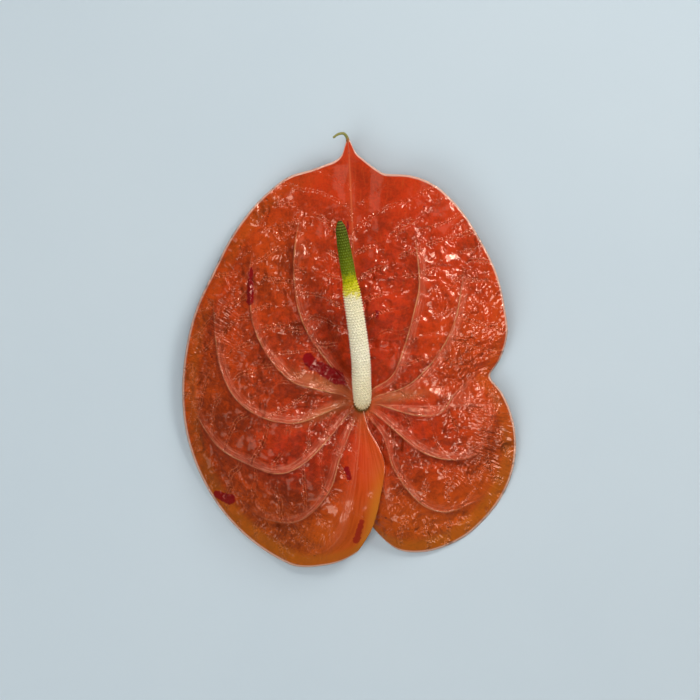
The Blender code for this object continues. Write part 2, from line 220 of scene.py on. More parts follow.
def vein_place(reach, bearing):
    """Where points lie among the veins: number from the midrib, length along, ends of both neighbours."""
    number = np.zeros_like(reach)
    length = np.zeros_like(reach)
    end_below = np.zeros_like(reach)
    end_above = np.zeros_like(reach)
    for veins, edge, side in (
        (LEFT_VEINS, LEFT_END_BEARING, bearing <= MIDRIB_BEARING),
        (RIGHT_VEINS, RIGHT_END_BEARING, bearing > MIDRIB_BEARING),
    ):
        table_reach, bearings, lengths, ends = vein_tables(veins)
        ends = ends + [0.0]
        last = np.full(len(table_reach), float(edge))
        bearings = np.vstack([bearings, last])
        lengths = np.vstack([lengths, table_reach])
        at = [np.interp(reach, table_reach, row) for row in bearings]
        long = [np.interp(reach, table_reach, row) for row in lengths]
        for k in range(len(at) - 1):
            gap = at[k + 1] - at[k]
            f = (bearing - at[k]) / np.where(np.abs(gap) < 0.5, 0.5 * np.sign(gap + 1e-9), gap)
            inside = side & ((f >= 0) | (k == 0)) & ((f < 1) | (k == len(at) - 2))
            number = np.where(inside, k + np.clip(f, 0, 1.5), number)
            length = np.where(inside, long[k] + (long[k + 1] - long[k]) * np.clip(f, 0, 1), length)
            end_below = np.where(inside, ends[k], end_below)
            end_above = np.where(inside, ends[k + 1], end_above)
    return number, length, end_below, end_above


def random_at(i, j, salt):
    """A steady random number from 0 to 1 for each whole-numbered place."""
    value = np.sin(i * 127.1 + j * 311.7 + salt * 74.7) * 43758.5453
    return value - np.floor(value)


def soft_noise(u, v, salt):
    """Smooth random ups and downs from -1 to 1, about one unit across."""
    i, j = np.floor(u), np.floor(v)
    f, g = u - i, v - j
    f, g = f * f * (3 - 2 * f), g * g * (3 - 2 * g)
    top = random_at(i, j, salt) * (1 - f) + random_at(i + 1, j, salt) * f
    low = random_at(i, j + 1, salt) * (1 - f) + random_at(i + 1, j + 1, salt) * f
    return (top * (1 - g) + low * g) * 2 - 1


def cells(u, v, salt):
    """Irregular cells about one unit across: how far a point is from its cell's border, 0 to 1."""
    near = np.full(u.shape, 9.0)
    second = np.full(u.shape, 9.0)
    for di in (-1, 0, 1):
        for dj in (-1, 0, 1):
            i, j = np.floor(u) + di, np.floor(v) + dj
            x = i + 0.15 + 0.7 * random_at(i, j, salt)
            y = j + 0.15 + 0.7 * random_at(i, j, salt + 5)
            away = np.hypot(u - x, v - y)
            second = np.minimum(second, np.maximum(near, away))
            near = np.minimum(near, away)
    return np.clip(second - near, 0, 1)


def slit_grid():
    """A flat square grid with a hole in its middle, slit straight down from the hole."""
    grid = bmesh.new()
    bmesh.ops.create_grid(grid, x_segments=2 * BLADE_RINGS, y_segments=2 * BLADE_RINGS, size=BLADE_RINGS)
    middle = [f for f in grid.faces if max(abs(c) for c in f.calc_center_median()[:2]) < HOLE_RING]
    bmesh.ops.delete(grid, geom=middle, context="FACES")
    slit = [e for e in grid.edges if all(abs(v.co.x) < 0.01 and v.co.y < 0.01 for v in e.verts)]
    bmesh.ops.split_edges(grid, edges=slit)
    places = np.array([v.co[:2] for v in grid.verts])
    sides = np.array([v.link_faces[0].calc_center_median().x for v in grid.verts])
    mesh = bpy.data.meshes.new("spathe_blade")
    grid.to_mesh(mesh)
    grid.free()
    return mesh, places, sides


def ring_and_turn(places, sides):
    """Each grid point's ring, counted from the middle, and its share of the way round from the slit."""
    gx, gy = places.T
    ring = np.maximum(abs(gx), abs(gy))
    turn = 0.75 - (gy / ring) / 8
    turn = np.where(gy >= ring - 0.01, 0.5 + (gx / ring) / 8, turn)
    turn = np.where((gx <= -ring + 0.01) & (gy < ring - 0.01), 0.25 + (gy / ring) / 8, turn)
    low_side = np.where(gx < 0, -gx / ring / 8, 1 - gx / ring / 8)
    turn = np.where((gy <= -ring + 0.01) & (abs(gx) < ring), low_side, turn)
    on_slit = (abs(gx) < 0.01) & (gy < 0)
    return ring, np.where(on_slit, np.where(sides < 0, 0.0, 1.0), turn)


# The flat grid is wrapped to rings round the foot, and its slit runs down to the sinus.
blade_mesh, places, sides = slit_grid()
ring, turn = ring_and_turn(places, sides)
row = smooth_list(BEARING_OF_ROW, turn * 360)
margin = smooth_list(MARGIN, row)
reach = HOLE_RADIUS + (margin - HOLE_RADIUS) * (ring - HOLE_RING) / (BLADE_RINGS - HOLE_RING)
out = reach / margin
bearing = row + smooth_list(LEFT_LOBE_EDGE, out) * np.clip(1 - row / EDGE_SPREAD, 0, 1) ** 2
bearing += smooth_list(RIGHT_LOBE_EDGE, out) * np.clip(1 - (360 - row) / EDGE_SPREAD, 0, 1) ** 2
x = -np.sin(np.radians(bearing)) * reach
y = -np.cos(np.radians(bearing)) * reach

# The broad form: recessed foot, crest two fifths of the way out, falling to the margin.
# Toward the thread the margin counts as hardly further out than the blade's own tip.
crest = smooth_list(CREST_HEIGHT, row)
edge_height = smooth_list(MARGIN_HEIGHT, row)
broad_margin = np.where(y > 0, np.minimum(margin, BROAD_TIP + 0.15 * (margin - BROAD_TIP)), margin)
broad_out = reach / broad_margin
rise = np.clip(broad_out / CREST_SHARE, 0, 1)
fall = np.clip((broad_out - CREST_SHARE) / (1 - CREST_SHARE), 0, 1)
height = FOOT_HEIGHT + (crest - FOOT_HEIGHT) * (3 * rise**2 - 2 * rise**3)
height = height + (edge_height - crest) * (1.55 * fall**2 - 0.55 * fall**3)
height += LOBE_LIFT * np.clip(1 - row / LOBE_SPREAD, 0, 1) ** 2
sunk = 1 - np.clip(out - 0.75, 0, 0.25) * 2
height -= LOBE_DROP * np.clip(1 - (360 - row) / LOBE_SPREAD, 0, 1) ** 2 * sunk

# Each point's place among the main veins, the gap between its two veins, and how strong both are.
STEP_OUT = 0.5
STEP_ROUND = 0.4
number, length, end_below, end_above = vein_place(reach, bearing)
slope_out = (vein_place(reach + STEP_OUT, bearing)[0] - number) / STEP_OUT
slope_round = vein_place(reach, bearing + STEP_ROUND)[0] - number
slope_round = slope_round / (np.radians(STEP_ROUND) * np.maximum(reach, 4))
vein_gap = 1 / np.clip(np.hypot(slope_out, slope_round), 0.03, 2.0)
vein_below = np.floor(number)
part = number - vein_below
strengths = np.array(VEIN_STRENGTH + [0, 0, 0])
by_midrib = (vein_below < 1) & (y > 0)
midrib_fade = np.where(by_midrib, 1 - ease(y, 25, 50), 1)
strong_below = strengths[vein_below.astype(int)] * (1 - ease(reach - end_below, -12, 2)) * midrib_fade
strong_above = strengths[vein_below.astype(int) + 1] * (1 - ease(reach - end_above, -12, 2))
from_below = part * vein_gap
from_above = (1 - part) * vein_gap
strong = np.where(from_below < from_above, strong_below, strong_above)
vein_distance = np.minimum(from_below, from_above)

# Raised ribs along the veins, wider on the side that faces the light, where the sheen is painted, with
# dished tissue between them.
fade = ease(out, 0.08, 0.2) * (1 - ease(out, 0.86, 0.97))
on_left = bearing <= MIDRIB_BEARING
toward_light = np.where(on_left, -1.0, 1 - 2 * ease(bearing, 258, 285))
beyond_width = 1.4 + 0.9 * (1 + toward_light)
before_width = 1.4 + 0.9 * (1 - toward_light)
ribs = strong_below * np.exp(-(from_below / beyond_width) ** 2)
ribs += strong_above * np.exp(-(from_above / before_width) ** 2)
DISH_REACH = 6
nearest_midrib = by_midrib & (from_below < from_above)
dish_reach = np.where(nearest_midrib, np.maximum(vein_distance, DISH_REACH * ease(y, 25, 50)), vein_distance)
dish = 0.5 - 0.5 * np.cos(np.clip(dish_reach / DISH_REACH, 0, 1) * math.pi)
relief = (RIB_HEIGHT * ribs - DISH_DEPTH * dish) * fade
beside_midrib = x + 3.4 + 0.04 * (y - 60)
gutter = np.exp(-(beside_midrib / 3.6) ** 2) * ease(y, 36, 66) * (1 - ease(y, 92, 98))
relief -= GUTTER_DEPTH * gutter

# Quilting: pillows between the cross veins, and smaller puffs on them, strongest where it is crumpled.
smooth_top = hill(x, y, (2, 88), (34, 20))
smooth_lobe = 1 - ease(row, 12, 30)
calm = np.clip(1 - 0.95 * smooth_top - 0.85 * smooth_lobe, 0, 1)
room = np.clip(vein_gap / 9, 0.15, 1)
loose_patches = soft_noise(x / 8 + 5, y / 8, 17) + 0.7 * soft_noise(x / 3.5, y / 3.5, 18)
patches = 0.6 * ease(loose_patches, 0.0, 1.0)
for centre_x, centre_y, half_width, half_height in CRUMPLES:
    half_sizes = (half_width * CRUMPLE_SPREAD, half_height * CRUMPLE_SPREAD)
    patches = np.maximum(patches, hill(x, y, (centre_x, centre_y), half_sizes))
vein_row = vein_below + np.where(on_left, 0.0, 40.0)
slant = -(0.7 + 0.5 * random_at(vein_row, 0, 51)) * (part - 0.5) * vein_gap
wander = 2.2 * soft_noise(x / 8, y / 8, 52)
cross_vein = (length + slant + wander) / CROSS_VEIN_PITCH + random_at(vein_row, 0, 53)
cross_distance = np.abs(cross_vein - np.round(cross_vein)) * CROSS_VEIN_PITCH
quilt = np.sqrt(np.clip(cross_distance * 2 / CROSS_VEIN_PITCH, 0, 1)) * np.sin(np.clip(part, 0, 1) * math.pi)
relief += (QUILT_HEIGHT * quilt - 0.2) * fade * calm * room
u = number * 2.2
v = length / CELL_LENGTH
warp_u = soft_noise(u * 0.6 + 3, v * 0.6, 1) * 0.4
warp_v = soft_noise(u * 0.6, v * 0.6 + 7, 2) * 0.4
puff = PUFF_HEIGHT * (ease(cells(u + warp_u, v + warp_v, 3), 0.0, 0.85) - 0.5)
relief += puff * fade * calm * room * (0.4 + 0.35 * patches)


def regions(*hills):
    """The sum of some hills on the blade: strength, centre, half sizes and turn in degrees of each."""
    return sum(strength * hill(x, y, centre, sizes, turned) for strength, centre, sizes, turned in hills)


# Fine wrinkles that run out from the notch, and ladders of short folds by the margins.
notch = hill(x, y, (46, 22), (14, 24), -10)
rays = soft_noise(bearing / 1.9, out * 7, 11) + 0.6 * soft_noise(bearing / 0.95, out * 12, 12)
relief += NOTCH_WRINKLE * rays * notch * (1 - ease(out, 0.93, 1.0))
ladder = regions(
    (1.0, (50, -12), (7, 15), 5), (1.0, (-24, -52), (15, 6), -12), (0.6, (-55, 26), (9, 20), -12),
    (0.5, (-66, -2), (5, 20), 0), (0.5, (42, -26), (8, 8), 0), (0.5, (28, -48), (16, 5), 10),
)
FOLD_RADIUS = 58


def finish_faces(mesh, upward=False):
    """Faces that agree with each other, turned upward where asked, and smooth."""
    work = bmesh.new()
    work.from_mesh(mesh)
    bmesh.ops.recalc_face_normals(work, faces=work.faces)
    if upward and sum(f.normal.z for f in work.faces) < 0:
        bmesh.ops.reverse_faces(work, faces=work.faces)
    work.to_mesh(mesh)
    work.free()
    mesh.polygons.foreach_set("use_smooth", [True] * len(mesh.polygons))


blade_points = np.stack([x, y, height + relief], axis=1) * MM + np.array(FOOT)
blade_mesh.vertices.foreach_set("co", blade_points.astype(np.float32).ravel())
finish_faces(blade_mesh, upward=True)

# Bruises: place and half width at one end, and the same at the other end.
CRIMSON_MARKS = [
    (-42.6, 52, 0.9, -42.8, 39.5, 1.4), (-20.4, 17.4, 2.5, -18.4, 14.8, 2.2),
    (-16.5, 14.4, 2.4, -9.6, 10.4, 2.9), (-9, 10, 2.4, -6, 7.4, 0.5), (-56.2, -35.2, 1.6, -51, -37, 2.2),
    (-5.9, -25, 1.2, -4.7, -28.4, 0.9), (5.8, 35.4, 0.8, 5.9, 33.3, 0.6), (-5.5, 70, 0.7, -6, 65.5, 0.6),
]
RED_MARKS = [
    (-0.2, -45, 1.1, -2.2, -52.5, 1.4), (48.4, -40.6, 1.0, 48.6, -40.9, 0.8),
    (33.7, -51.5, 0.7, 33.8, -51.3, 0.6),
]


def mark_depth(marks):
    """How far inside the nearest mark each point lies, below 0 outside."""
    deepest = np.full(x.shape, -9.0)
    for ax, ay, wa, bx, by, wb in marks:
        share = ((x - ax) * (bx - ax) + (y - ay) * (by - ay)) / ((bx - ax) ** 2 + (by - ay) ** 2)
        share = np.clip(share, 0, 1)
        away = np.hypot(x - ax - share * (bx - ax), y - ay - share * (by - ay))
        deepest = np.maximum(deepest, wa + (wb - wa) * share - away)
    return deepest


# How bright, how orange and how tan the tissue is, region by region. The brightness is partly the tissue's
# own tone and partly painted light, rising toward the upper right where the light falls.
tone_and_light = 0.5 + 0.001 * x + 0.0018 * y + 0.4 * smooth_lobe * ease(out, 0.05, 0.3)
tone_and_light += regions(
    (-0.12, (-24, 24), (24, 36), 0), (0.4, (24, -46), (30, 18), 0), (0.25, (34, 26), (24, 26), 0),
)
warmth = 0.03 + 0.75 * ease(-y, 8, 60)
warmth += regions(
    (0.4, (56, -22), (14, 28), 0), (0.25, (-62, 8), (10, 30), 0), (0.25, (40, 20), (16, 26), 0),
    (0.22, (-50, 0), (22, 40), 0), (-0.3, (-26, -26), (18, 14), 0), (0.3, (-36, 58), (18, 26), 0),
)
tan = regions(
    (0.6, (-14, 7.5), (13, 2.8), -18), (0.6, (-12, -2), (12, 2.0), 25), (0.6, (14, 3), (12, 2.2), 10),
)
FAR = 9.0
midrib = np.where((y > 12) & (y < 99), np.abs(beside_midrib), FAR) + 3 * (1 - ease(y, 12, 30))


def write_values(mesh, name, values):
    """One number for each point of the mesh, which the shader reads by its name."""
    layer = mesh.attributes.new(name, "FLOAT", "POINT")
    layer.data.foreach_set("value", np.asarray(values, np.float32).ravel())


# What the shader reads at each point of the blade. Distances are in millimetres.
point_values = {
    "midrib": np.clip(midrib, 0, FAR),
    "vein_gap": np.clip(vein_gap, 0, 30),
    "vein_strength": strong * ease(out, 0.05, 0.12) * (1 - ease(out, 0.9, 0.99)),
    "patches": patches,
    # The side of each vein that faces the light, and how strong the painted sheen on that side is.
    "toward_light": toward_light,
    "sheen_share": np.where(on_left, 1 - 0.65 * ease(y, 5, 30), 0.9),
    "tan": np.clip(tan, 0, 0.7),
    "margin_distance": margin * (1 - out),
    "foot_distance": reach,
    "flap_edge": np.where(row < 90, np.radians(row) * reach, 99.0),
    "flap_gold": 0.15 + 0.85 * ease(reach, 20, 44),
    "crimson": mark_depth(CRIMSON_MARKS),
    "red_mark": mark_depth(RED_MARKS),
    "tone_and_light": np.clip(tone_and_light, 0, 1),
    "warmth": np.clip(warmth, 0, 1),
    "calm": calm,
    "cross_vein": cross_vein,
    "around": np.radians(bearing) * FOLD_RADIUS,
    "notch": np.clip(notch, 0, 1),
    "ladder": np.clip(ladder, 0, 1),
}
for name, values in point_values.items():
    write_values(blade_mesh, name, values)
# The flow runs along the veins in Y, and steps from vein to vein in X.
VEIN_STEP = 14.0
flow_layer = blade_mesh.attributes.new("flow", "FLOAT_VECTOR", "POINT")
flow_values = np.stack([number * VEIN_STEP, length, np.zeros_like(x)], axis=1)
flow_layer.data.foreach_set("vector", flow_values.astype(np.float32).ravel())


class Nodes:
    """A material's shader nodes, added and joined a line at a time."""

    def __init__(self, name):
        self.material = bpy.data.materials.new(name)
        self.material.use_nodes = True
        self.tree = self.material.node_tree
        self.shader = self.tree.nodes["Principled BSDF"]

    def add(self, kind, settings=None, **inputs):
        """A new node, its inputs given by name, or by number as i0, i1 and so on."""
        node = self.tree.nodes.new(kind)
        for key, value in (settings or {}).items():
            setattr(node, key, value)
        for key, value in inputs.items():
            numbered = key[0] == "i" and key[1:].isdigit()
            self.feed(node.inputs[int(key[1:]) if numbered else key], value)
        return node

    def feed(self, socket, value):
        """Joins a node or a socket to the socket, or sets the number or colour on it."""
        if isinstance(value, bpy.types.NodeSocket):
            self.tree.links.new(value, socket)
        elif isinstance(value, bpy.types.Node):
            self.tree.links.new(value.outputs[0], socket)
        else:
            socket.default_value = value

    def value(self, name):
        """What write_values wrote on the mesh under that name."""
        return self.add("ShaderNodeAttribute", {"attribute_name": name}).outputs["Fac"]

    def flow(self):
        return self.add("ShaderNodeAttribute", {"attribute_name": "flow"}).outputs["Vector"]

    def spot(self):
        """The place on the object, in metres."""
        return self.add("ShaderNodeTexCoord").outputs["Object"]

    def part_of(self, vector, axis_name):
        return self.add("ShaderNodeSeparateXYZ", Vector=vector).outputs[axis_name]

    def noise(self, vector, scale, detail=3.0, roughness=0.55):
        node = self.add("ShaderNodeTexNoise", Vector=vector, Scale=scale, Detail=detail, Roughness=roughness)
        return node.outputs["Fac"]

    def warp(self, vector, scale, amount):
        """The vector pushed about by smooth noise."""
        push = self.add("ShaderNodeTexNoise", Vector=vector, Scale=scale, Detail=2.0).outputs["Color"]
        half = self.add("ShaderNodeVectorMath", {"operation": "SUBTRACT"}, i0=push, i1=(0.5, 0.5, 0.5))
        return self.add("ShaderNodeVectorMath", {"operation": "MULTIPLY_ADD"}, i0=half.outputs[0],
                        i1=(amount, amount, amount), i2=vector).outputs[0]

    def bowls(self, vector):
        """Rounded bowls about one unit across: the square of the distance to the nearest one's middle."""
        cell = self.add("ShaderNodeTexVoronoi", {"feature": "SMOOTH_F1"}, Vector=vector, Scale=1.0)
        return self.times(cell.outputs["Distance"], cell.outputs["Distance"])

    def stretch(self, vector, amounts):
        return self.add("ShaderNodeVectorMath", {"operation": "MULTIPLY"}, i0=vector, i1=amounts).outputs[0]

    def math(self, operation, a, b=0.0, c=0.0):
        return self.add("ShaderNodeMath", {"operation": operation}, i0=a, i1=b, i2=c).outputs[0]

    def times(self, *values):
        """The product of the values."""
        product = values[0]
        for value in values[1:]:
            product = self.math("MULTIPLY", product, value)
        return product

    def off_whole(self, value):
        """How far a value is past the nearest whole number, below 0 short of it."""
        return self.math("SUBTRACT", value, self.math("ROUND", value))

    def vein_distance(self):
        """Millimetres to the nearest main vein, below 0 on the midrib's side of it."""
        number = self.math("DIVIDE", self.part_of(self.flow(), "X"), VEIN_STEP)
        return self.times(self.off_whole(number), self.value("vein_gap"))

    def between(self, value, low, high, start=0.0, end=1.0):
        """Start below low, end above high, and a smooth change between."""
        node = self.add("ShaderNodeMapRange", {"interpolation_type": "SMOOTHSTEP"}, Value=value)
        for key, number in (("From Min", low), ("From Max", high), ("To Min", start), ("To Max", end)):
            node.inputs[key].default_value = number
        return node.outputs["Result"]

    def mix(self, share, a, b):
        """Colour a with that share of colour b laid over it."""
        node = self.add("ShaderNodeMix", {"data_type": "RGBA"})
        self.feed(node.inputs["Factor"], share)
        self.feed(node.inputs[6], a)
        self.feed(node.inputs[7], b)
        return node.outputs[2]

    def bump(self, height, distance, strength=1.0):
        return self.add("ShaderNodeBump", Height=height, Distance=distance, Strength=strength).outputs[0]


def rgb(red, green, blue):
    """A colour as the eye sees it, 0 to 255, turned into the shader's light values."""
    shares = [c / 255 for c in (red, green, blue)]
    return (*[c / 12.92 if c <= 0.04045 else ((c + 0.055) / 1.055) ** 2.4 for c in shares], 1.0)


# Upper face: orange-red tissue under a clear waxy gloss, mottled and faintly streaked.
top = Nodes("spathe_upper_face")
calm_part = top.value("calm")
vein_power = top.value("vein_strength")
flow = top.flow()
mottle = top.noise(top.spot(), 60.0, 4.0)
fine_mottle = top.noise(top.warp(top.spot(), 200.0, 0.004), 330.0, 3.0, 0.65)
pores = top.noise(top.spot(), 1100.0, 2.0, 0.6)
# The tissue's brightness holds painted light as well as tone: lighter toward the upper right, where the
# light falls.
shade = top.math("ADD", top.value("tone_and_light"), top.between(mottle, 0.3, 0.7, -0.22, 0.2))
shade = top.math("MULTIPLY_ADD", top.between(fine_mottle, 0.3, 0.7, -0.2, 0.2), calm_part, shade)
shade = top.math("ADD", shade, top.between(pores, 0.3, 0.7, -0.1, 0.1))
reds = top.mix(top.between(shade, 0.0, 1.0), rgb(132, 38, 12), rgb(214, 56, 18))
oranges = top.mix(top.between(shade, 0.0, 1.0), rgb(150, 58, 8), rgb(218, 102, 14))
tissue = top.mix(top.value("warmth"), reds, oranges)
streaks = top.noise(top.stretch(flow, (2.2, 0.16, 1.0)), 1.0, 3.0)
tissue = top.mix(top.between(streaks, 0.5, 0.75, 0.0, 0.3), tissue, rgb(210, 84, 34))

# Side veins cross the tissue as fine double lines, broken here and there.
SIDE_VEIN_HALF_GAP = 0.7
cross_away = top.math("ABSOLUTE", top.off_whole(top.value("cross_vein")))
cross_away = top.times(cross_away, float(CROSS_VEIN_PITCH))
twin_lines = top.math("ABSOLUTE", top.math("SUBTRACT", cross_away, SIDE_VEIN_HALF_GAP))
broken_side = top.between(top.noise(top.spot(), 75.0, 2.0), 0.36, 0.56)
side_veins = top.times(top.between(twin_lines, 0.08, 0.28, 0.45, 0.0), calm_part, broken_side)
tissue = top.mix(side_veins, tissue, rgb(226, 118, 72))

# Each main vein has, on the side that faces the light, a salmon band of painted sheen with fine strands of
# painted highlight, and a thin painted shadow on the other side.
past_vein = top.vein_distance()
toward_light = top.times(past_vein, top.value("toward_light"))
sheen_band = top.times(top.between(toward_light, 0.3, 3.8, 0.75, 0.0), top.between(toward_light, -0.5, 0.0))
sheen_band = top.times(sheen_band, top.value("sheen_share"), vein_power, top.between(mottle, 0.3, 0.6, 0.5, 1.0))
strand_place = top.add("ShaderNodeCombineXYZ", X=top.times(toward_light, 1.5),
                       Y=top.times(top.part_of(flow, "Y"), 0.12))
strands = top.noise(strand_place.outputs[0], 1.0, 2.0)
strand_highlight = top.times(sheen_band, top.between(strands, 0.5, 0.62, 0.0, 0.9))
shadow = top.times(top.between(toward_light, -2.4, -0.3, 0.0, 0.3), top.between(toward_light, -0.4, 0.1, 1.0, 0.0))
tissue = top.mix(sheen_band, tissue, rgb(218, 96, 66))
tissue = top.mix(strand_highlight, tissue, rgb(240, 146, 112))
tissue = top.mix(top.value("tan"), tissue, rgb(206, 118, 66))
tissue = top.mix(top.times(shadow, vein_power), tissue, rgb(126, 34, 16))

# The crest of the vein is a pale line, worn in places. A wider band along the midrib, out to the tip, is
# painted sheen, with a thin pale line down its middle.
vein_near = top.math("ABSOLUTE", past_vein)
worn = top.between(top.noise(top.spot(), 130.0, 3.0), 0.36, 0.6, 0.15, 0.75)
line = top.times(top.between(vein_near, 0.06, 0.32, 1.0, 0.0), vein_power, worn)
tissue = top.mix(line, tissue, rgb(222, 150, 96))
tissue = top.mix(top.between(top.value("midrib"), 0.3, 3.2, 0.35, 0.0), tissue, rgb(214, 78, 42))
tissue = top.mix(top.between(top.value("midrib"), 0.1, 0.55, 0.5, 0.0), tissue, rgb(232, 118, 72))

# The smooth left lobe has long pale and deep streaks, and its free edge turns gold.
lobe_streaks = top.noise(top.stretch(flow, (0.9, 0.05, 1.0)), 1.0, 3.0, 0.6)
low_lobe = top.times(top.between(calm_part, 0.5, 0.2), top.between(top.value("flap_edge"), 22.0, 12.0))
pale_streaks = top.times(low_lobe, top.between(lobe_streaks, 0.42, 0.62, 0.0, 0.3))
deep_streaks = top.times(low_lobe, top.between(lobe_streaks, 0.5, 0.34, 0.0, 0.3))
gold_edge = top.times(top.between(top.value("flap_edge"), 0.6, 5.5, 0.85, 0.0), top.value("flap_gold"))
tissue = top.mix(pale_streaks, tissue, rgb(226, 96, 56))
tissue = top.mix(deep_streaks, tissue, rgb(168, 36, 12))
tissue = top.mix(gold_edge, tissue, rgb(230, 134, 34))

# Bruises with ragged edges, dark freckles, the tan socket at the foot, the ochre hem and the rim.
ragged = top.math("MULTIPLY_ADD", top.noise(top.spot(), 900.0, 3.0), 1.6, -0.8)
red_mark = top.between(top.math("ADD", top.value("red_mark"), ragged), -0.15, 0.35, 0.0, 0.85)
crimson = top.between(top.math("ADD", top.value("crimson"), ragged), -0.15, 0.35, 0.0, 0.95)
freckle_spots = top.between(top.noise(top.spot(), 330.0, 2.0), 0.71, 0.76)
freckle_field = top.between(top.noise(top.spot(), 45.0, 2.0), 0.45, 0.6)
hem = top.times(top.between(top.value("margin_distance"), 4.0, 7.5, 0.7, 0.0), top.value("warmth"))
for share, colour in (
    (red_mark, rgb(168, 30, 14)),
    (top.times(freckle_spots, freckle_field, 0.75), rgb(92, 10, 8)),
    (top.between(top.value("foot_distance"), 2.8, 9.0, 0.6, 0.0), rgb(206, 96, 50)),
    (top.between(top.value("foot_distance"), 2.8, 4.2, 0.8, 0.0), rgb(104, 70, 20)),
    (hem, rgb(204, 112, 18)),
    (crimson, rgb(142, 2, 10)),
    (top.between(top.value("margin_distance"), 0.4, 1.1, 0.85, 0.0), rgb(250, 204, 180)),
):
    tissue = top.mix(share, tissue, colour)
top.feed(top.shader.inputs["Base Color"], tissue)

# Fine relief that breaks the gloss into glints: pillows and dimples on the crumpled places,
# beads along the side veins, strands on the bands, and the folds by the notch and the margins.
place = top.stretch(top.spot(), (1000.0, 1000.0, 0.0))
warped = top.warp(place, 0.13, 5.0)
lively = top.times(calm_part, top.value("patches"))
pillow = top.times(top.bowls(top.stretch(warped, (0.22, 0.16, 1.0))), -1.7)
dimple = top.times(top.bowls(top.stretch(warped, (0.46, 0.32, 1.0))), -1.0)
swell = top.noise(top.stretch(place, (0.15, 0.15, 1.0)), 1.0, 1.0)
beads = top.math("SUBTRACT", top.noise(top.stretch(place, (0.75, 0.75, 1.0)), 1.0, 1.0), 0.5)
bead_share = top.times(top.between(cross_away, 0.6, 1.9, 1.0, 0.0), broken_side, calm_part, 1.6)
crest_line = top.times(top.between(vein_near, 0.0, 0.7, 0.25, 0.0), vein_power)
along_folds = top.noise(top.stretch(flow, (0.75, 0.16, 1.0)), 1.0, 2.0)
rungs = top.add("ShaderNodeCombineXYZ", X=top.times(top.value("around"), 0.85),
                Y=top.times(top.value("foot_distance"), 0.16))
across_folds = top.noise(rungs.outputs[0], 1.0, 1.0)
heights = crest_line
for form, share in (
    (pillow, top.between(lively, 0.05, 0.6, 0.05, 1.1)),
    (dimple, top.between(lively, 0.1, 0.6, 0.0, 1.4)),
    (swell, top.between(calm_part, 0.0, 1.0, 0.1, 0.9)),
    (beads, bead_share),
    (top.math("SUBTRACT", strands, 0.5), sheen_band),
    (along_folds, top.times(top.value("notch"), 1.3)),
    (across_folds, top.times(top.value("ladder"), 1.6)),
):
    heights = top.math("MULTIPLY_ADD", form, share, heights)
normal = top.bump(heights, 1.0 * MM)
top.feed(top.shader.inputs["Normal"], normal)
top.feed(top.shader.inputs["Coat Normal"], normal)
top.shader.inputs["Roughness"].default_value = 0.4
top.shader.inputs["Specular IOR Level"].default_value = 0.05
top.shader.inputs["Coat Weight"].default_value = 0.84
top.shader.inputs["Coat Roughness"].default_value = 0.1

# Underside: duller and paler, with the veins standing out.
under = Nodes("spathe_underside")
pale = under.mix(under.value("warmth"), rgb(196, 88, 62), rgb(202, 118, 66))
cloud = under.noise(under.spot(), 70.0, 4.0)
pale = under.mix(under.between(cloud, 0.35, 0.7, 0.0, 0.35), pale, rgb(168, 66, 44))
under_near = under.math("ABSOLUTE", under.vein_distance())
under_vein = under.times(under.between(under_near, 0.2, 1.3, 0.7, 0.0), under.value("vein_strength"))
pale = under.mix(under_vein, pale, rgb(222, 152, 108))
under.feed(under.shader.inputs["Base Color"], pale)
net = under.noise(under.stretch(under.flow(), (0.5, 0.7, 1.0)), 1.0, 3.0)
under.feed(under.shader.inputs["Normal"], under.bump(net, 0.4 * MM, 0.6))
under.shader.inputs["Roughness"].default_value = 0.5

# Cut edge of the tissue all round the margin.
rim = Nodes("spathe_rim")
rim_cloud = rim.noise(rim.spot(), 300.0, 3.0)
rim_colour = rim.mix(rim.between(rim_cloud, 0.3, 0.7), rgb(236, 168, 130), rgb(214, 120, 84))
rim.feed(rim.shader.inputs["Base Color"], rim_colour)
rim.shader.inputs["Roughness"].default_value = 0.4

for face_material in (top.material, under.material, rim.material):
    blade_mesh.materials.append(face_material)


def add_object(name, data):
    """A mesh, a lamp or a camera set in the scene under that name."""
    item = bpy.data.objects.new(name, data)
    bpy.context.scene.collection.objects.link(item)
    return item


spathe_blade = add_object("spathe_blade", blade_mesh)
thickness = spathe_blade.modifiers.new("thickness", "SOLIDIFY")
thickness.thickness = BLADE_THICKNESS
thickness.offset = 0.0
thickness.material_offset = 1
thickness.material_offset_rim = 2
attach(spathe_blade, "root")
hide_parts("spathe")

# The tip of the spathe dries to a thin green-yellow thread, which curls to the left.
# It grows out of the midrib's end, as part of the same bract. Millimetres from the foot.
THREAD = [(-5.0, 97.0, 10.4), (-5.4, 101, 10.6), (-5.7, 103, 11.2), (-7.1, 104.6, 12.2), (-9.3, 104.2, 13),
          (-11.2, 102.8, 13.6)]
THREAD_RADIUS = 0.75 * MM
THREAD_END_RADIUS = 0.1 * MM
THREAD_SIDES = 16


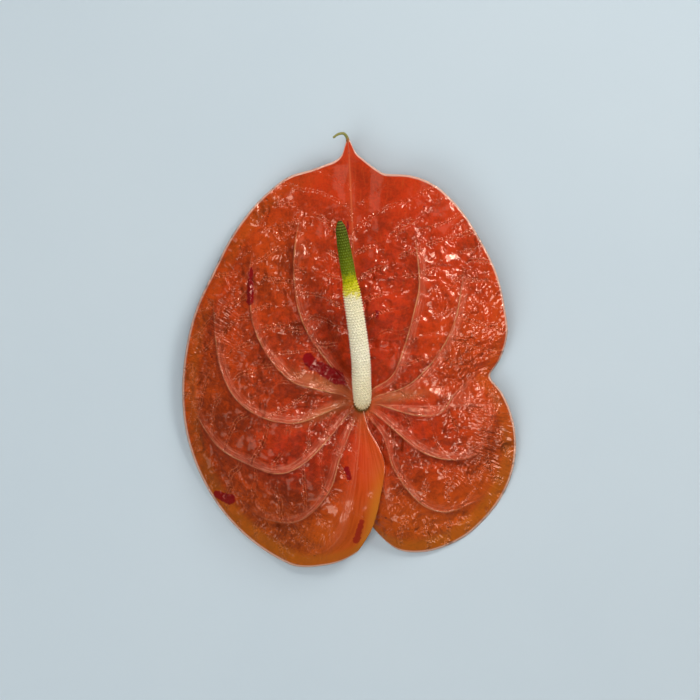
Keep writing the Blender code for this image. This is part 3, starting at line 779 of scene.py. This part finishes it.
def tube_mesh(name, path, radii, sides):
    """A skin along a path in metres, with one radius a ring or one a point, closed at both ends."""
    along = np.gradient(path, axis=0)
    along /= np.linalg.norm(along, axis=1)[:, None]
    across = np.zeros_like(along)
    across[0] = np.cross(along[0], (0.0, 0.0, 1.0))
    if np.linalg.norm(across[0]) < 0.15:
        across[0] = (1.0, 0.0, 0.0)
    for n in range(1, len(across)):
        across[n] = across[n - 1] - along[n] * np.dot(across[n - 1], along[n])
        across[n] /= np.linalg.norm(across[n])
    upward = np.cross(across, along)
    angles = np.arange(sides) / sides * 2 * math.pi
    spokes = across[:, None] * np.cos(angles)[:, None] + upward[:, None] * np.sin(angles)[:, None]
    skin = path[:, None] + spokes * np.broadcast_to(radii, (len(path), sides))[:, :, None]
    points = np.vstack([skin.reshape(-1, 3), path[:1], path[-1:]])
    start, end = len(points) - 2, len(points) - 1
    last = (len(path) - 1) * sides
    faces = []
    for n in range(len(path) - 1):
        for k in range(sides):
            a, b = n * sides + k, n * sides + (k + 1) % sides
            faces.append((a, b, b + sides, a + sides))
    for k in range(sides):
        faces.append((start, (k + 1) % sides, k))
        faces.append((end, last + k, last + (k + 1) % sides))
    mesh = bpy.data.meshes.new(name)
    mesh.from_pydata(points.tolist(), [], faces)
    finish_faces(mesh)
    return mesh


def along_values(shares, sides):
    """The share of the way along for each point of a tube, then for the points that close its ends."""
    return np.append(np.repeat(shares, sides), (0.0, 1.0))


thread_path = smooth_path(THREAD, 10) * MM + np.array(FOOT)
thread_share = np.linspace(0, 1, len(thread_path))
thread_radii = THREAD_RADIUS * (1 - 0.45 * thread_share)
thread_radii[-1] = THREAD_END_RADIUS
thread_mesh = tube_mesh("spathe_thread", thread_path, thread_radii[:, None], THREAD_SIDES)
write_values(thread_mesh, "share", along_values(thread_share, THREAD_SIDES))
thread = Nodes("dried_thread")
dried = thread.mix(thread.noise(thread.spot(), 500.0), rgb(150, 130, 60), rgb(122, 150, 70))
dried = thread.mix(thread.between(thread.value("share"), 0.15, 0.5, 1.0, 0.0), dried, rgb(196, 66, 30))
thread.feed(thread.shader.inputs["Base Color"], dried)
thread_grain = thread.noise(thread.spot(), 1500.0)
thread.feed(thread.shader.inputs["Normal"], thread.bump(thread_grain, 0.1 * MM, 0.6))
thread.shader.inputs["Roughness"].default_value = 0.45
thread_mesh.materials.append(thread.material)
spathe_thread = add_object("spathe_thread", thread_mesh)
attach(spathe_thread, "root")

# The spadix is a fleshy rod packed with florets in slanting rows, seated on the top of the stalk.
# Ripe florets at its foot are cream with a raised point each; the young ones at its tip are green.
# Millimetres from the foot; the radius goes by the share of the way along.
SPADIX_AXIS = [
    (0, 0.1, 19), (0.1, 0.8, 20.9), (0.1, 3.2, 23.1), (-0.2, 9.3, 25.3), (-0.4, 16.3, 27),
    (-1.3, 24.5, 28.9), (-3.1, 37.2, 31.6), (-5.2, 50, 34.2), (-7, 60.4, 36.3), (-8.5, 69.7, 38.2),
]
SPADIX_RADIUS = [(0, 2.1), (0.03, 2.5), (0.08, 2.85), (0.2, 3.0), (0.45, 2.85), (0.62, 2.7), (0.78, 2.6),
                 (0.9, 2.3), (0.97, 1.7), (1, 0.7)]
SPADIX_SIDES = 120
SPADIX_RINGS = 480
FLORETS_ROUND = 17
FLORET_ROW = 1.05
FLORET_HEIGHT = 0.2
FLORET_HALF_WIDTH = 0.65
POINT_HEIGHT = 0.8
POINT_WIDTH = 0.3
axis = smooth_path(SPADIX_AXIS, 30)
axis_length = np.concatenate(([0], np.cumsum(np.linalg.norm(np.diff(axis, axis=0), axis=1))))
stations = np.linspace(0, 1, SPADIX_RINGS)
station_mm = stations * axis_length[-1]
axis_points = np.stack([np.interp(station_mm, axis_length, axis[:, k]) for k in range(3)], axis=1)
body_radius = smooth_list(SPADIX_RADIUS, stations)
round_share = np.arange(SPADIX_SIDES) / SPADIX_SIDES
columns, rows = np.meshgrid(round_share * FLORETS_ROUND, station_mm / FLORET_ROW)


def floret_distance(columns, rows, radius):
    """Distance in millimetres to the nearest floret's middle, in rows offset by half."""
    pitch = 2 * math.pi * radius[:, None] / FLORETS_ROUND
    best = np.full(columns.shape, 99.0)
    for shift, offset in ((0.0, 0.0), (1.0, 0.5)):
        row_near = np.round((rows - shift) / 2) * 2 + shift
        for step in (-2, 0, 2):
            row_at = row_near + step
            column_at = np.round(columns - offset) + offset
            wobble = 0.1 * (random_at(column_at % FLORETS_ROUND, row_at, 21) - 0.5)
            away_round = (columns - column_at - wobble) * pitch
            away_along = (rows - row_at) * FLORET_ROW
            best = np.minimum(best, np.hypot(away_round, away_along))
    return best


floret = floret_distance(columns, rows, body_radius)
ripe = 1 - ease(stations, 0.62, 0.7)[:, None]
boss = FLORET_HEIGHT * (1 - np.clip(floret / FLORET_HALF_WIDTH, 0, 1) ** 2)
point = np.exp(-(floret / POINT_WIDTH) ** 2) * (POINT_HEIGHT * ripe + 0.05)
ends = ease(stations, 0.0, 0.03)[:, None] * (1 - ease(stations, 0.985, 1.0))[:, None]
spadix_radii = (body_radius[:, None] + (boss + point - 0.12) * ends) * MM
spadix_mesh = tube_mesh("spadix_florets", axis_points * MM + np.array(FOOT), spadix_radii, SPADIX_SIDES)
write_values(spadix_mesh, "floret", np.append(floret.ravel(), (0.0, 0.0)))
write_values(spadix_mesh, "along", along_values(stations, SPADIX_SIDES))

rod = Nodes("spadix_florets")
along = rod.value("along")
blur = rod.between(rod.noise(rod.spot(), 700.0, 2.0), 0.3, 0.7, -0.02, 0.02)
ripeness = rod.add("ShaderNodeValToRGB", Fac=rod.math("ADD", along, blur))
ramp = ripeness.color_ramp
ramp.elements[0].color = rgb(226, 200, 140)
ramp.elements[1].color = rgb(62, 54, 20)
for position, colour in (
    (0.05, rgb(248, 236, 196)), (0.3, rgb(255, 248, 222)), (0.595, rgb(255, 246, 210)),
    (0.63, rgb(240, 226, 80)), (0.675, rgb(206, 200, 8)), (0.73, rgb(112, 128, 6)),
    (0.85, rgb(80, 98, 4)), (0.96, rgb(66, 74, 8)),
):
    ramp.elements.new(position).color = colour
# The gaps between the florets are darkened, most in the green part: painted shade in the hollows between
# them.
gap = rod.times(rod.between(rod.value("floret"), 0.4, 0.65), rod.between(along, 0.6, 0.72, 0.1, 0.6))
dots = rod.times(rod.between(rod.value("floret"), 0.15, 0.4, 0.6, 0.0), rod.between(along, 0.66, 0.74))
rod_colour = rod.mix(gap, ripeness, rod.mix(0.55, ripeness, rgb(110, 72, 16)))
rod_colour = rod.mix(dots, rod_colour, rgb(140, 156, 60))
rod_colour = rod.mix(rod.between(along, 0.0, 0.03, 0.8, 0.0), rod_colour, rgb(120, 112, 40))
rod.feed(rod.shader.inputs["Base Color"], rod_colour)
rod.feed(rod.shader.inputs["Normal"], rod.bump(rod.noise(rod.spot(), 3000.0, 2.0), 0.06 * MM, 0.5))
rod.shader.inputs["Roughness"].default_value = 0.5
rod.shader.inputs["Specular IOR Level"].default_value = 0.05
spadix_mesh.materials.append(rod.material)
spadix_florets = add_object("spadix_florets", spadix_mesh)
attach(spadix_florets, "root")
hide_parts("spadix")

# The peduncle is the cut flower stalk, firm and green, that carries the spathe and the spadix.
# It bends in a neck behind the blade and lies along the surface to its cut end. Millimetres.
STALK_AXIS = [(0, 0, 18.8), (0, 0, 16.6), (0, 0.4, 13), (-0.1, 3.6, 7.6), (-0.4, 12, 4.2),
              (-0.8, 26, 3.1), (-1.4, 50, 2.95), (-2.4, 80, 3.15)]
STALK_RADIUS = 2.92
STALK_SIDES = 72
stalk_path = smooth_path(STALK_AXIS, 24)
stalk_share = np.linspace(0, 1, len(stalk_path))
slim = 0.05 * np.clip((stalk_path[:, 2] - 10) / 6, 0, 1)
stalk_angles = np.arange(STALK_SIDES) / STALK_SIDES * 2 * math.pi
ridges = 0.05 * np.cos(9 * stalk_angles) + 0.02 * np.cos(21 * stalk_angles)
uneven = 0.05 * soft_noise(stalk_share[:, None] * 26, stalk_angles[None, :] * 0.8, 31)
stalk_radii = (STALK_RADIUS * (1 - slim)[:, None] - 0.07 + ridges + uneven) * MM
stalk_mesh = tube_mesh("stalk", stalk_path * MM + np.array(FOOT), stalk_radii, STALK_SIDES)
write_values(stalk_mesh, "share", along_values(stalk_share, STALK_SIDES))
stem = Nodes("stalk_skin")
fibres = stem.noise(stem.stretch(stem.spot(), (1.0, 0.2, 1.0)), 260.0, 4.0)
flecks = stem.between(stem.noise(stem.spot(), 900.0, 2.0), 0.58, 0.7, 0.0, 0.4)
green = stem.mix(fibres, rgb(84, 112, 40), rgb(122, 140, 60))
green = stem.mix(flecks, green, rgb(150, 160, 90))
green = stem.mix(stem.between(stem.value("share"), 0.0, 0.22, 0.75, 0.0), green, rgb(132, 84, 44))
stem_grain = stem.noise(stem.stretch(stem.spot(), (1.0, 0.15, 1.0)), 900.0)
stem.feed(stem.shader.inputs["Base Color"], green)
stem.feed(stem.shader.inputs["Normal"], stem.bump(stem_grain, 0.15 * MM, 0.5))
stem.shader.inputs["Roughness"].default_value = 0.42
cut = Nodes("cut_end")
pores_share = cut.between(cut.noise(cut.spot(), 1400.0, 2.0), 0.45, 0.62)
cut.feed(cut.shader.inputs["Base Color"], cut.mix(pores_share, rgb(188, 196, 130), rgb(120, 138, 66)))
cut.shader.inputs["Roughness"].default_value = 0.6
for stalk_material in (stem.material, cut.material):
    stalk_mesh.materials.append(stalk_material)
end_point = len(stalk_mesh.vertices) - 1
for face in stalk_mesh.polygons:
    if end_point in face.vertices:
        face.material_index = 1
        face.use_smooth = False
stalk = add_object("stalk", stalk_mesh)
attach(stalk, "root")
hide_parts("peduncle")

# The bloom lies on a plain pale surface, as laid out for a grower's picture.
# The surface is only the setting, a smooth painted board.
bpy.ops.mesh.primitive_plane_add(size=6, location=(0, 0, 0))
floor = bpy.context.object
floor.name = "floor"
board = Nodes("pale_board")
paint = board.mix(board.noise(board.spot(), 9.0, 3.0), rgb(206, 223, 232), rgb(214, 229, 236))
board.feed(board.shader.inputs["Base Color"], paint)
board.shader.inputs["Roughness"].default_value = 0.7
floor.data.materials.append(board.material)
floor.visible_glossy = False

# The light of a bright room: a soft window at the upper right and two wide fills from above.
# Their shine is left to the panels below, so that light and gloss are set apart.


def flat_lamp(name, place, size, power, colour, for_gloss=False):
    """A square lamp that points at the bloom, for soft light, or for the gloss alone."""
    lamp = bpy.data.lights.new(name, "AREA")
    lamp.shape = "RECTANGLE"
    lamp.size = size
    lamp.size_y = size
    lamp.energy = power
    lamp.color = colour
    holder = add_object(name, lamp)
    holder.location = place
    holder.rotation_euler = (-Vector(place)).to_track_quat("-Z", "Y").to_euler()
    holder.visible_glossy = for_gloss
    holder.visible_diffuse = not for_gloss


flat_lamp("window_light", (0.52, 0.72, 0.62), 0.42, 6.5, (1.0, 0.99, 0.97))
flat_lamp("wide_fill", (-0.1, 0.0, 1.3), 0.8, 5.5, (0.99, 0.99, 1.0))
flat_lamp("near_fill", (-0.5, -0.7, 1.0), 0.7, 4.5, (0.98, 0.99, 1.0))

# Panels that only the gloss shows, as the bright things round the room: place, size, power.
PANEL_COLOUR = (1.0, 0.7, 0.54)
PANELS = [
    ((0.74, 0.66, 0.64), 0.5, 9.6), ((0.68, 0.62, 0.7), 0.17, 3.4), ((0.95, -0.35, 0.64), 0.44, 6.4),
    ((-0.4, 0.88, 0.66), 0.42, 5.2), ((-0.85, 0.1, 0.7), 0.3, 0.8), ((0.1, -0.9, 0.7), 0.36, 2.4),
    ((-0.75, -0.6, 0.6), 0.4, 1.0), ((0.25, 0.6, 0.95), 0.32, 0.4),
]
for n, (panel_place, panel_size, panel_power) in enumerate(PANELS):
    flat_lamp(f"panel_{n}", panel_place, panel_size, panel_power, PANEL_COLOUR, for_gloss=True)

# The room round the lamps is nearly dark, a little warmer low down.
ROOM_LOW = (0.12, 0.1, 0.09, 1)
ROOM_HIGH = (0.05, 0.055, 0.06, 1)
world = bpy.data.worlds.new("room")
bpy.context.scene.world = world
world.use_nodes = True
sky = world.node_tree
direction = sky.nodes.new("ShaderNodeTexCoord").outputs["Generated"]
split = sky.nodes.new("ShaderNodeSeparateXYZ")
sky.links.new(direction, split.inputs[0])
ceiling = sky.nodes.new("ShaderNodeValToRGB")
sky.links.new(split.outputs["Z"], ceiling.inputs[0])
ceiling.color_ramp.elements[0].position = 0.1
ceiling.color_ramp.elements[0].color = ROOM_LOW
ceiling.color_ramp.elements[1].position = 0.5
ceiling.color_ramp.elements[1].color = ROOM_HIGH
sky.links.new(ceiling.outputs[0], sky.nodes["Background"].inputs["Color"])
sky.nodes["Background"].inputs["Strength"].default_value = 1.0

# The camera looks straight down on the bloom, as the photograph does, from well above it.
CAMERA_HEIGHT = 1.2
CAMERA_LENS = 158
VIEW_FROM_FOOT = (-4.6 * MM, 20.9 * MM)
camera_data = bpy.data.cameras.new("overhead_camera")
camera_data.lens = CAMERA_LENS
camera_data.clip_end = 10
camera = add_object("overhead_camera", camera_data)
camera.location = (FOOT.x + VIEW_FROM_FOOT[0], FOOT.y + VIEW_FROM_FOOT[1], CAMERA_HEIGHT)
bpy.context.scene.camera = camera
bpy.context.scene.view_settings.view_transform = "Standard"
